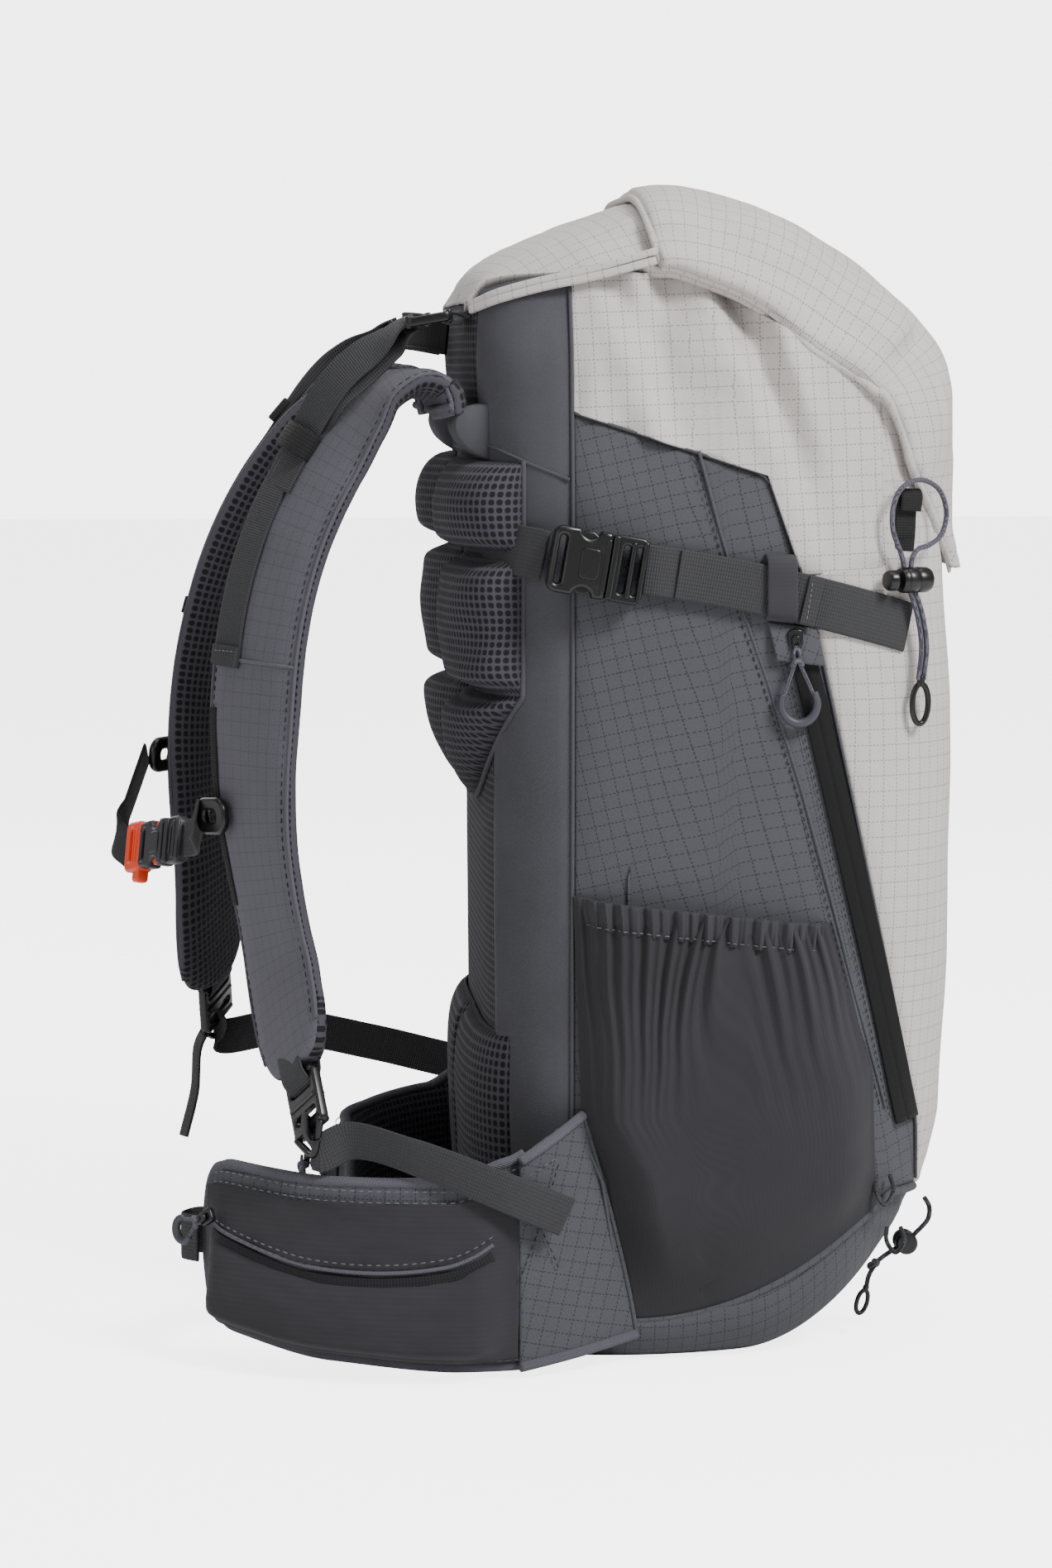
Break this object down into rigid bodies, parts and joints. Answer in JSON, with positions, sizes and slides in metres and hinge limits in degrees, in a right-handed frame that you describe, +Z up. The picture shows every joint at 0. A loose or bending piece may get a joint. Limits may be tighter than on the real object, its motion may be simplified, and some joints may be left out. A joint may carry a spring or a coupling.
{
  "type": "hiking backpack",
  "caption": "Hiking backpack with a fold-over roll top, padded shoulder straps, a hip belt with pockets, stretch side pockets and buckled compression webbing.",
  "frame": {"origin": "on the flat underside of the bag, midway between its sides, where it stands on the floor", "axes": "+Z up, +Y toward the wearer's back (the harness side), -X toward the wearer's left"},
  "size_m": [0.3518, 0.4383, 0.5849],
  "materials": {
    "light_ripstop": "matte",
    "dark_ripstop": "matte",
    "plain_dark": "matte",
    "strap_cloth": "matte",
    "mesh": "matte",
    "knit": "matte",
    "webbing": "matte",
    "cord_sheath": "matte",
    "black_plastic": "satin",
    "grey_plastic": "satin",
    "orange_plastic": "satin",
    "frame_plastic": "matte",
    "aluminium": "satin"
  },
  "bodies": {
    "bag": {"back_panel": "plain_dark", "front_panel": "light_ripstop", "base_panel": "dark_ripstop", "frame_sheet": "frame_plastic", "frame_stay": "aluminium", "lumbar_pad": "mesh", "side_strip_left": "plain_dark", "side_strip_right": "plain_dark", "side_panel_left": "dark_ripstop", "side_panel_right": "dark_ripstop", "upper_panel_left": "light_ripstop", "upper_panel_right": "light_ripstop", "stretch_pocket_left": "knit", "stretch_pocket_right": "knit", "back_pad_left": "mesh", "back_pad_right": "mesh", "lifter_buckle_left": "black_plastic", "lifter_buckle_right": "black_plastic", "side_webbing_left": "webbing", "side_webbing_right": "webbing", "side_plug_left": "black_plastic", "side_plug_right": "black_plastic", "hip_tab_left": "dark_ripstop", "hip_tab_right": "dark_ripstop", "lower_webbing_left": "webbing", "lower_webbing_right": "webbing", "front_tab": "webbing", "front_cord": "cord_sheath", "base_cord": "cord_sheath"},
    "lid": {"lid": "light_ripstop"},
    "lid_hook": {"lid_hook": "aluminium"},
    "haul_loop": {"haul_loop": "webbing"},
    "strap_left": {"shoulder_strap_left": "strap_cloth", "lifter_webbing_left": "webbing"},
    "strap_right": {"shoulder_strap_right": "strap_cloth", "lifter_webbing_right": "webbing"},
    "ladder_lock_left": {"ladder_lock_left": "black_plastic"},
    "ladder_lock_right": {"ladder_lock_right": "black_plastic"},
    "sternum_slider_left": {"sternum_slider_left": "black_plastic", "sternum_webbing_left": "webbing"},
    "sternum_slider_right": {"sternum_slider_right": "black_plastic", "sternum_webbing_right": "webbing", "sternum_buckle": "grey_plastic", "whistle": "orange_plastic"},
    "sternum_plug": {"sternum_plug": "orange_plastic"},
    "side_buckle_left": {"side_buckle_left": "black_plastic"},
    "side_buckle_right": {"side_buckle_right": "black_plastic"},
    "side_zip_pull_left": {"side_zip_pull_left": "cord_sheath"},
    "side_zip_pull_right": {"side_zip_pull_right": "cord_sheath"},
    "wing_left": {"hip_wing_left": "knit", "hip_pocket_left": "knit", "hip_buckle": "black_plastic"},
    "wing_right": {"hip_wing_right": "knit", "hip_pocket_right": "knit"},
    "hip_plug": {"hip_plug": "black_plastic"},
    "hip_zip_pull_left": {"hip_zip_pull_left": "cord_sheath"},
    "hip_zip_pull_right": {"hip_zip_pull_right": "cord_sheath"},
    "cord_lock": {"cord_lock": "black_plastic"},
    "cord_lock_button": {"cord_lock_button": "black_plastic"},
    "base_cord_lock": {"base_cord_lock": "black_plastic"}
  },
  "joints": [
    {"name": "lid_open", "type": "hinge", "parent": "bag", "child": "lid", "pos_m": [0, 0.114, 0.53], "axis": [-1, 0, 0], "range_deg": [0, 110]},
    {"name": "lid_hook_swing", "type": "hinge", "parent": "lid", "child": "lid_hook", "pos_m": [0, -0.142, 0.394], "axis": [-1, 0, 0], "range_deg": [0, 40]},
    {"name": "haul_loop_lift", "type": "hinge", "parent": "bag", "child": "haul_loop", "pos_m": [0, 0.118, 0.515], "axis": [1, 0, 0], "range_deg": [0, 12]},
    {"name": "strap_left_swing", "type": "hinge", "parent": "bag", "child": "strap_left", "pos_m": [0, 0.1205, 0.474], "axis": [1, 0, 0], "range_deg": [0, 26], "deforming": ["lifter_webbing_left", "lower_webbing_left"]},
    {"name": "strap_right_swing", "type": "hinge", "parent": "bag", "child": "strap_right", "pos_m": [0, 0.1205, 0.474], "axis": [1, 0, 0], "range_deg": [0, 26], "deforming": ["lifter_webbing_right", "lower_webbing_right"]},
    {"name": "ladder_lock_left_tilt", "type": "hinge", "parent": "strap_left", "child": "ladder_lock_left", "pos_m": [-0.131, 0.1975, 0.148], "axis": [0.9023, 0.4311, 0], "range_deg": [-8, 8]},
    {"name": "ladder_lock_right_tilt", "type": "hinge", "parent": "strap_right", "child": "ladder_lock_right", "pos_m": [0.131, 0.24, 0.161], "axis": [-0.9023, 0.4311, 0], "range_deg": [-8, 8]},
    {"name": "sternum_slide_left", "type": "slide", "parent": "strap_left", "child": "sternum_slider_left", "axis": [0, -0.045, 0.999], "range_m": [-0.015, 0.015]},
    {"name": "sternum_slide_right", "type": "slide", "parent": "strap_right", "child": "sternum_slider_right", "axis": [0, -0.045, 0.999], "range_m": [-0.015, 0.015]},
    {"name": "sternum_release", "type": "slide", "parent": "sternum_slider_left", "child": "sternum_plug", "axis": [-0.8671, -0.4625, 0.185], "range_m": [0, 0.014], "deforming": ["sternum_webbing_left"]},
    {"name": "side_buckle_left_release", "type": "slide", "parent": "bag", "child": "side_buckle_left", "axis": [0, 0.9854, 0.1701], "range_m": [0, 0.02]},
    {"name": "side_buckle_right_release", "type": "slide", "parent": "bag", "child": "side_buckle_right", "axis": [0, 0.9854, 0.1701], "range_m": [0, 0.02]},
    {"name": "side_zip_left_run", "type": "slide", "parent": "bag", "child": "side_zip_pull_left", "axis": [0, -0.2599, -0.9656], "range_m": [0, 0.16]},
    {"name": "side_zip_right_run", "type": "slide", "parent": "bag", "child": "side_zip_pull_right", "axis": [0, -0.2599, -0.9656], "range_m": [0, 0.16]},
    {"name": "wing_left_fold", "type": "hinge", "parent": "bag", "child": "wing_left", "pos_m": [-0.155, 0.07, 0.06], "axis": [0, 0, 1], "range_deg": [-15, 25]},
    {"name": "wing_right_fold", "type": "hinge", "parent": "bag", "child": "wing_right", "pos_m": [0.152, 0.07, 0.06], "axis": [0, 0, -1], "range_deg": [0, 60]},
    {"name": "hip_plug_reach", "type": "slide", "parent": "wing_right", "child": "hip_plug", "axis": [-0.9487, -0.3162, 0], "range_m": [0, 0.012]},
    {"name": "hip_zip_left_run", "type": "slide", "parent": "wing_left", "child": "hip_zip_pull_left", "axis": [-0.7507, -0.6606, 0], "range_m": [0, 0.05]},
    {"name": "hip_zip_right_run", "type": "slide", "parent": "wing_right", "child": "hip_zip_pull_right", "axis": [0.9998, -0.0202, 0], "range_m": [0, 0.05]},
    {"name": "cord_lock_slide", "type": "slide", "parent": "bag", "child": "cord_lock", "axis": [0.073, -0.138, -0.9877], "range_m": [-0.003, 0.015], "deforming": ["front_cord"]},
    {"name": "cord_lock_press", "type": "slide", "parent": "cord_lock", "child": "cord_lock_button", "axis": [0.4231, -0.9061, 0], "range_m": [0, 0.002], "stiffness_N_per_m": 200, "springref_m": -0.0005},
    {"name": "base_cord_lock_slide", "type": "slide", "parent": "bag", "child": "base_cord_lock", "axis": [0, 0.8131, -0.5822], "range_m": [-0.004, 0.006], "deforming": ["base_cord"]}
  ],
  "couplings": [
    {"joint": "strap_right_swing", "follows": "strap_left_swing", "ratio": 1},
    {"joint": "sternum_slide_right", "follows": "sternum_slide_left", "ratio": 1}
  ]
}
